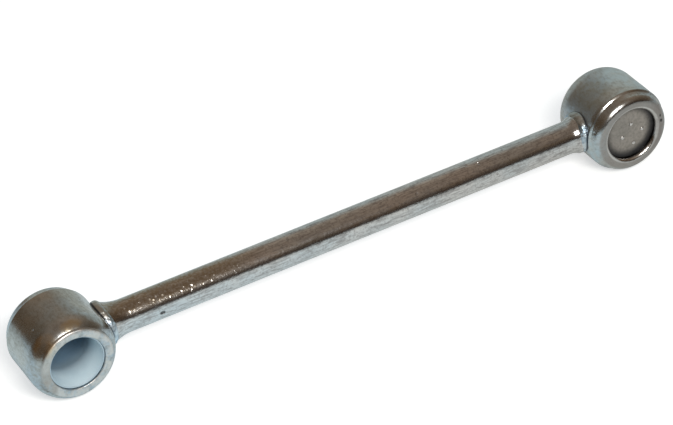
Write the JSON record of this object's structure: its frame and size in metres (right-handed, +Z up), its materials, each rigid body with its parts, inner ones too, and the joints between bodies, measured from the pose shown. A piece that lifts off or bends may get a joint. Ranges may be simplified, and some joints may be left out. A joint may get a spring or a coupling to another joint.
{
  "type": "gear shift rod",
  "caption": "Round steel selector link rod with a plastic-lined ball socket welded across each end, opening to opposite sides.",
  "frame": {"origin": "middle of the rod, on the axis of its shank, half way between the two ball centres", "axes": "+X along the shank to the socket that opens to +Y, +Y along the sockets' axes, +Z up and square to both"},
  "size_m": [0.1692, 0.0198, 0.0212],
  "materials": {
    "shank": "zinc plated drawn bar, fine pits",
    "housing_left": "zinc plated, faint yellow passivation",
    "housing_right": "zinc plated, faint yellow passivation",
    "weld_left": "zinc plated weld bead, uneven",
    "weld_right": "zinc plated weld bead, uneven",
    "cover_plate_left": "dull zinc plated sheet",
    "cover_plate_right": "dull zinc plated sheet",
    "ball_seat_left": "natural moulded plastic, satin",
    "ball_seat_right": "natural moulded plastic, satin"
  },
  "bodies": {
    "root": {"ball_seat_left": "ball_seat_left", "ball_seat_right": "ball_seat_right", "cover_plate_left": "cover_plate_left", "cover_plate_right": "cover_plate_right", "housing_left": "housing_left", "housing_right": "housing_right", "shank": "shank", "weld_left": "weld_left", "weld_right": "weld_right"}
  },
  "joints": []
}
